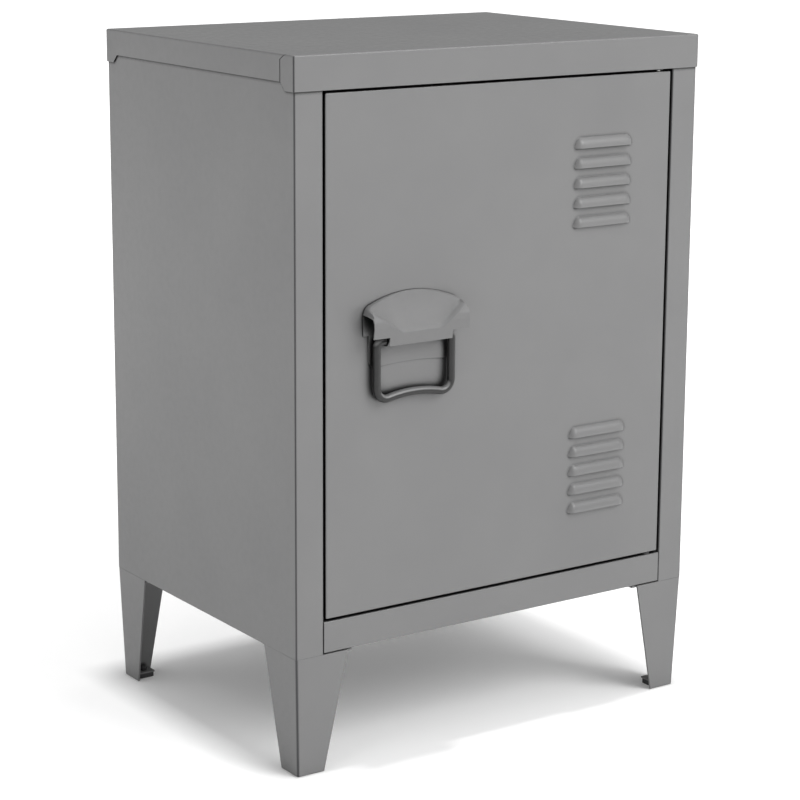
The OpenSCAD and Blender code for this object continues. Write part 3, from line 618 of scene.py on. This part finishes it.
def make_door():
    """The door pan: its front is a grid so that the louvres rise out of it in one piece."""
    x1 = DOOR_X - LOUVRE_FROM_SIDE
    x0 = x1 - LOUVRE_LENGTH
    mid = (x0 + x1) / 2
    lips = [centre + (i - (LOUVRES - 1) / 2) * LOUVRE_PITCH - LOUVRE_HEIGHT / 2
            for centre in (DOOR_LO.z + LOUVRE_FROM_EDGE, DOOR_HI.z - LOUVRE_FROM_EDGE)
            for i in range(LOUVRES)]
    xs = merged([-DOOR_X, -DOOR_X + DOOR_LIP, 0, DOOR_X - DOOR_LIP, DOOR_X]
                + spaced(x0, x0 + LOUVRE_END, LOUVRE_END_STEPS)
                + spaced(x1 - LOUVRE_END, x1, LOUVRE_END_STEPS))
    zs = merged([DOOR_LO.z, DOOR_LO.z + DOOR_LIP, DOOR_HI.z - DOOR_LIP, DOOR_HI.z]
                + [z for lip in lips for z in spaced(lip, lip + LOUVRE_HEIGHT, LOUVRE_UP_STEPS)])
    mesh = bmesh.new()
    grid = [[mesh.verts.new((x, FRONT_Y, z)) for x in xs] for z in zs]
    # along each lip the sheet is cut, so the row above the cut has points of its own
    above = {}
    for j, z in enumerate(zs):
        if any(abs(z - lip) < SAME for lip in lips):
            for i, x in enumerate(xs):
                if x0 + SAME < x < x1 - SAME:
                    above[j, i] = mesh.verts.new((x, FRONT_Y, z))
    for j in range(len(zs) - 1):
        for i in range(len(xs) - 1):
            low_a = above.get((j, i), grid[j][i])
            low_b = above.get((j, i + 1), grid[j][i + 1])
            mesh.faces.new([low_a, low_b, grid[j + 1][i + 1], grid[j + 1][i]])
    for face in mesh.faces:
        face.normal_update()
    rim = [e for e in mesh.edges if e.is_boundary and all(on_rim(v.co) for v in e.verts)]
    walls = bmesh.ops.extrude_edge_only(mesh, edges=rim)["geom"]
    for v in (g for g in walls if isinstance(g, bmesh.types.BMVert)):
        v.co.y = DOOR_BACK
    rim = [g for g in walls if isinstance(g, bmesh.types.BMEdge) and g.is_boundary]
    lip_geom = bmesh.ops.extrude_edge_only(mesh, edges=rim)["geom"]
    for v in (g for g in lip_geom if isinstance(g, bmesh.types.BMVert)):
        v.co.x = min(max(v.co.x, -DOOR_X + DOOR_LIP), DOOR_X - DOOR_LIP)
        v.co.z = min(max(v.co.z, DOOR_LO.z + DOOR_LIP), DOOR_HI.z - DOOR_LIP)
    bmesh.ops.remove_doubles(mesh, verts=[g for g in lip_geom if isinstance(g, bmesh.types.BMVert)],
                             dist=SAME)
    mark_folds(mesh)
    for (j, i), vert in above.items():
        vert.co.y -= LOUVRE_OUT * louvre_rise(xs[i] - mid, 0)
    for j, z in enumerate(zs):
        lip = max((q for q in lips if q < z - SAME), default=None)
        if lip is None or z > lip + LOUVRE_HEIGHT:
            continue
        for i, x in enumerate(xs):
            if x0 < x < x1:
                grid[j][i].co.y -= LOUVRE_OUT * louvre_rise(x - mid, z - lip)
    for face in mesh.faces:
        raised = all(FRONT_Y - LOUVRE_OUT < v.co.y < FRONT_Y - RAISED for v in face.verts)
        face.material_index = 1 if raised else 0
    bmesh.ops.recalc_face_normals(mesh, faces=mesh.faces)
    corner = Vector((-DOOR_X, FRONT_Y, 0))
    front = min(mesh.faces, key=lambda f: (f.calc_center_median() - corner).length)
    if front.normal.y > 0:
        bmesh.ops.reverse_faces(mesh, faces=mesh.faces)
    door = sheet_piece("door_shell", mesh, "door_panel", bend=INNER_BEND, material=DOOR_PAINT,
                       folds_marked=True)
    door.data.materials.append(LOUVRE_PAINT)


def on_rim(p):
    """Does a point of the door's front lie on its outer edge?"""
    return (abs(abs(p.x) - DOOR_X) < SAME or abs(p.z - DOOR_LO.z) < SAME
            or abs(p.z - DOOR_HI.z) < SAME)


def make_stiffener():
    """The hat channel that stiffens the door from inside."""
    lo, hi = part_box("door_stiffener")
    foot = lo.y + SHEET
    wall = hi.x - STIFFENER_FOOT
    mesh = bmesh.new()
    strip(mesh, [
        ((-hi.x, foot), (-wall, foot), BACK),
        ((-wall, foot), (-wall, hi.y), LEFT),
        ((-wall, hi.y), (wall, hi.y), BACK),
        ((wall, hi.y), (wall, foot), RIGHT),
        ((wall, foot), (hi.x, foot), BACK),
    ], lambda p, z: (p[0], p[1], z), lo.z, hi.z)
    sheet_piece("door_stiffener_shell", mesh, "door_stiffener", bend=INNER_BEND)


# ---- handle hood ----

HOOD_HALF = (HOOD_HI.x - HOOD_LO.x) / 2
HOOD_ARCH = 100 * MM        # radius of its arched top
SHOULDER = 8 * MM           # radius of its shoulders
NOTCH_W, NOTCH_H = 15.4 * MM, 7 * MM    # cut-outs for the bail's arms
SCOOP_FOOT, SCOOP_CREASE = 9 * MM, 13 * MM    # heights where the scoop starts and where it bends
SCOOP_HALF = 17 * MM        # half its width at the foot
SCOOP_DEPTH = 3.5 * MM      # at its crease
SCOOP_MARGIN = 1.5 * MM     # left beside the scoop where it is widest
SCOOP_WIDEST = 13 * MM      # how far below the crown that is
BROW = 1.6 * MM             # rounding of the hood's rim and of the scoop's sides
RIM = 1.4 * MM              # how far the profile stands out at the crown, where the CAD has 4 mm
PLATE = 1 * MM              # how far the back plate stands out of the door
HOOD_PROFILE = (            # heights, and how far back of its foremost point the hood is there
    (0, 2.5 * MM),
    (15 * MM, 0),
    (20 * MM, 0.4 * MM),
    (24.5 * MM, 3 * MM),
    (28.5 * MM, 7 * MM),
)
HOOD_STEPS_X, HOOD_STEPS_Z = 90, 60     # grid steps across and up the hood


def eased(points, value, half=0.8 * MM):
    """Height along a broken line of (place, height) points, rounded off over half each way."""
    def straight(v):
        for (a, p), (b, q) in zip(points, points[1:]):
            if v <= b:
                return p + (q - p) * max(0.0, (v - a) / (b - a))
        return points[-1][1]
    steps = [-1, -0.5, 0, 0.5, 1]
    return sum(straight(value + half * s) for s in steps) / len(steps)


def hood_top(x):
    """Height of the hood's outline above its lower edge, at x from its middle."""
    crown = HOOD_HI.z - HOOD_LO.z
    centre = crown - HOOD_ARCH
    shoulder_x = HOOD_HALF - SHOULDER
    shoulder_z = centre + math.sqrt((HOOD_ARCH - SHOULDER) ** 2 - shoulder_x ** 2)
    x = abs(x)
    meet = shoulder_x * HOOD_ARCH / (HOOD_ARCH - SHOULDER)
    if x <= meet:
        return centre + math.sqrt(HOOD_ARCH ** 2 - x ** 2)
    return shoulder_z + math.sqrt(max(0.0, SHOULDER ** 2 - (x - shoulder_x) ** 2))


def hood_out(x, z):
    """How far the hood stands out of the door at x from its middle and z above its lower edge."""
    reach = FRONT_Y - HOOD_LO.y
    crown = HOOD_HI.z - HOOD_LO.z
    shell = eased([*((up, reach - back) for up, back in HOOD_PROFILE), (crown, RIM)], z)
    scoop = eased([(SCOOP_FOOT, reach), (SCOOP_CREASE, reach - SCOOP_DEPTH), (crown, PLATE)], z,
                  0.5 * MM)
    half_high, high = HOOD_HALF - SCOOP_MARGIN, crown - SCOOP_WIDEST
    share = min(max((z - SCOOP_FOOT) / (high - SCOOP_FOOT), 0.0), 1.0)
    inside = SCOOP_HALF + (half_high - SCOOP_HALF) * share - abs(x)
    blend = min(max(inside / BROW, 0.0), 1.0) if z > SCOOP_FOOT else 0.0
    blend = blend * blend * (3 - 2 * blend)
    out = shell - max(0.0, shell - scoop) * blend
    brow = min(max((hood_top(x) - z) / BROW, 0.0), 1.0)
    return PLATE + (out - PLATE) * math.sqrt(1 - (1 - brow) ** 2)


def make_hood():
    """The pressed hood over the bail, with its thumb scoop and the notches for the bail's arms."""
    notch_x = HOOD_HALF - NOTCH_W
    xs = merged(spaced(-HOOD_HALF, HOOD_HALF, HOOD_STEPS_X) + [-notch_x, notch_x])
    zs = merged(spaced(0, HOOD_HI.z - HOOD_LO.z, HOOD_STEPS_Z) + [NOTCH_H])
    mesh = bmesh.new()

    def place(x, z):
        z = min(z, hood_top(x))
        return mesh.verts.new((HOOD_X + x, FRONT_Y - hood_out(x, z), HOOD_LO.z + z))

    grid = [[place(x, z) for x in xs] for z in zs]
    for j in range(len(zs) - 1):
        for i in range(len(xs) - 1):
            middle = abs(xs[i] + xs[i + 1]) / 2
            beyond = zs[j] >= max(hood_top(xs[i]), hood_top(xs[i + 1]))
            notched = middle > notch_x and zs[j + 1] <= NOTCH_H + SAME
            if not beyond and not notched:
                mesh.faces.new([grid[j][i], grid[j][i + 1], grid[j + 1][i + 1], grid[j + 1][i]])
    loose = [v for v in mesh.verts if not v.link_faces]
    bmesh.ops.delete(mesh, geom=loose, context="VERTS")
    weld(mesh)
    bmesh.ops.recalc_face_normals(mesh, faces=mesh.faces)
    if sum(f.normal.y * f.calc_area() for f in mesh.faces) > 0:
        bmesh.ops.reverse_faces(mesh, faces=mesh.faces)
    obj = add_object("hood_shell", mesh)
    obj.data.materials.append(HOOD_PAINT)
    obj.data.materials.append(SHADED_PAINT)
    modifier(obj, "SOLIDIFY", thickness=HOOD_SHEET, offset=-1.0, use_even_offset=False,
             material_offset=1)
    modifier(obj, "BEVEL", limit_method="ANGLE", angle_limit=EDGE_ANGLE, width=EDGE, segments=2)
    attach(obj, "door")
    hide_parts("handle_hood")


# ---- parts that keep their CAD shape ----

SLOT_MATERIALS = {
    "grey_paint": PAINT,
    "zinc_fixings": ZINC,
    "black_plastic": PLASTIC,
    "black_rubber": RUBBER,
    "magnet_ferrite": FERRITE,
}
NODE_MATERIALS = {"bail": BAIL_PAINT, "handle_plate": PLATE_PAINT}
NODE_EDGES = {              # rounding of the cut edges, where it isn't EDGE
    "foot_glides": 0.6 * MM,
    "catch_body": 0.4 * MM,
    "leg_bolts": 0.4 * MM,
    "leg_nuts": 0.3 * MM,
    "door_bumpers": 0.5 * MM,
}


def finish_nodes():
    """Gives every CAD node its material, and all but the round bail soft edges."""
    slots = {part["node"]: part["material_slot"] for part in frame["record"]["subparts"]}
    for name, obj in frame["nodes"].items():
        obj.data.materials.clear()
        obj.data.materials.append(NODE_MATERIALS.get(name, SLOT_MATERIALS[slots[name]]))
        if not obj.hide_render and name != "bail":
            modifier(obj, "WELD", merge_threshold=SAME)
            round_edges(obj, NODE_EDGES.get(name, EDGE))


# ---- studio ----

AMBIENT = 0.61              # even light from the world
DIM = 0.4                   # share of it that is left behind the cabinet
BEHIND = (0.57, 0.82, 0.2)  # the middle of that dimmer side
WINDOW = 0.6                # light that a broad soft window adds at its middle
WINDOW_WAY = (0.8, -0.5, 0.45)      # the direction of that middle
FLOOR_HALF = 12             # half the side of the studio's floor


def make_floor_plane():
    """A pale floor that runs into the white backdrop: its faint glow grows between 0.8 and 2.2 m from
    the cabinet's middle."""
    a = FLOOR_HALF
    mesh = bmesh.new()
    panel(mesh, [(-a, -a, 0), (a, -a, 0), (a, a, 0), (-a, a, 0)], UP)
    floor = add_object("studio_floor", mesh)
    s = Shader("studio_floor")
    s.feed("Base Color", s.mix(s.spread(s.noise(0.4), 0, 1), (0.93, 0.93, 0.93), (0.95, 0.95, 0.95)))
    s.set("Roughness", 0.9)
    s.set("Specular IOR Level", 0.1)
    s.feed("Emission Strength", s.graded(s.length(s.coords), 0.8, 2.2, 0.07, 0.5))
    floor.data.materials.append(s.material)


def area_light(name, azimuth, elevation, distance, size, power, aim):
    """A square soft light aimed at a point; azimuth 0 is in front of the door and grows to the right."""
    a, e = math.radians(azimuth), math.radians(elevation)
    away = Vector((math.sin(a) * math.cos(e), -math.cos(a) * math.cos(e), math.sin(e)))
    data = bpy.data.lights.new(name, "AREA")
    data.size = size
    data.energy = power
    light = bpy.data.objects.new(name, data)
    light.location = aim + away * distance
    light.rotation_euler = away.to_track_quat("Z", "Y").to_euler()
    bpy.context.scene.collection.objects.link(light)


def make_world():
    """A white backdrop for the camera; all else gets an even light that is dimmer from behind the
    cabinet and has a broad soft window on the right."""
    world = bpy.data.worlds.new("studio")
    bpy.context.scene.world = world
    world.use_nodes = True
    nodes, links = world.node_tree.nodes, world.node_tree.links
    place = nodes.new("ShaderNodeTexCoord")

    def toward(direction, start, full, low, high):
        """A light level that goes smoothly from low to high towards a direction."""
        facing = nodes.new("ShaderNodeVectorMath")
        facing.operation = "DOT_PRODUCT"
        facing.inputs[1].default_value = Vector(direction).normalized()
        links.new(place.outputs["Generated"], facing.inputs[0])
        level = nodes.new("ShaderNodeMapRange")
        level.interpolation_type = "SMOOTHSTEP"
        level.inputs["From Min"].default_value = start
        level.inputs["From Max"].default_value = full
        level.inputs["To Min"].default_value = low
        level.inputs["To Max"].default_value = high
        links.new(facing.outputs["Value"], level.inputs["Value"])
        return level.outputs["Result"]

    light = nodes.new("ShaderNodeMath")
    links.new(toward(BEHIND, 0.35, 0.8, AMBIENT, AMBIENT * DIM), light.inputs[0])
    links.new(toward(WINDOW_WAY, 0.3, 1.0, 0.0, WINDOW), light.inputs[1])
    path = nodes.new("ShaderNodeLightPath")
    strength = nodes.new("ShaderNodeMapRange")
    strength.inputs["To Max"].default_value = 1.0
    links.new(path.outputs["Is Camera Ray"], strength.inputs["Value"])
    links.new(light.outputs["Value"], strength.inputs["To Min"])
    links.new(strength.outputs["Result"], nodes["Background"].inputs["Strength"])
    nodes["Background"].inputs["Color"].default_value = (1, 1, 1, 1)


def make_camera():
    """The photograph's viewpoint: left of the door and a little above the lid."""
    place = Vector((-1.1413, -1.65455, 0.7331))
    yaw, pitch, roll = (math.radians(v) for v in (34.487, 12.347, -0.325))
    level = math.cos(pitch)
    ahead = Vector((math.sin(yaw) * level, math.cos(yaw) * level, -math.sin(pitch)))
    right = Vector((math.cos(yaw), -math.sin(yaw), 0))
    down = ahead.cross(right)
    right, down = (right * math.cos(roll) + down * math.sin(roll),
                   down * math.cos(roll) - right * math.sin(roll))
    turn = Matrix((right, -down, -ahead)).transposed()
    data = bpy.data.cameras.new("camera")
    data.lens = 107.12
    data.sensor_width = 36
    data.shift_y = -0.05
    camera = bpy.data.objects.new("camera", data)
    camera.matrix_world = Matrix.Translation(place) @ turn.to_4x4()
    bpy.context.scene.collection.objects.link(camera)
    bpy.context.scene.camera = camera


def make_studio():
    """Floor, backdrop and lights; distances in metres and powers in watts."""
    bpy.context.scene.view_settings.view_transform = "Standard"
    middle = (CAD_BOX[0] + CAD_BOX[1]) / 2
    make_floor_plane()
    make_world()
    area_light("key", 25, 38, distance=3.2, size=1.6, power=50, aim=middle)
    area_light("spark", -58, 50, distance=3.0, size=0.25, power=2, aim=middle)
    area_light("overhead", 0, 89.5, distance=8.0, size=0.5, power=320, aim=middle)


make_lid()
make_side(-1, "left_side")
make_side(1, "right_side")
make_floor()
make_header()
make_shelf()
for leg, side, end in (("leg_front_left", -1, -1), ("leg_front_right", 1, -1),
                       ("leg_rear_left", -1, 1), ("leg_rear_right", 1, 1)):
    make_leg(leg, side, end)
make_door()
make_stiffener()
make_hood()
finish_nodes()
make_studio()
make_camera()

bpy.context.view_layer.update()
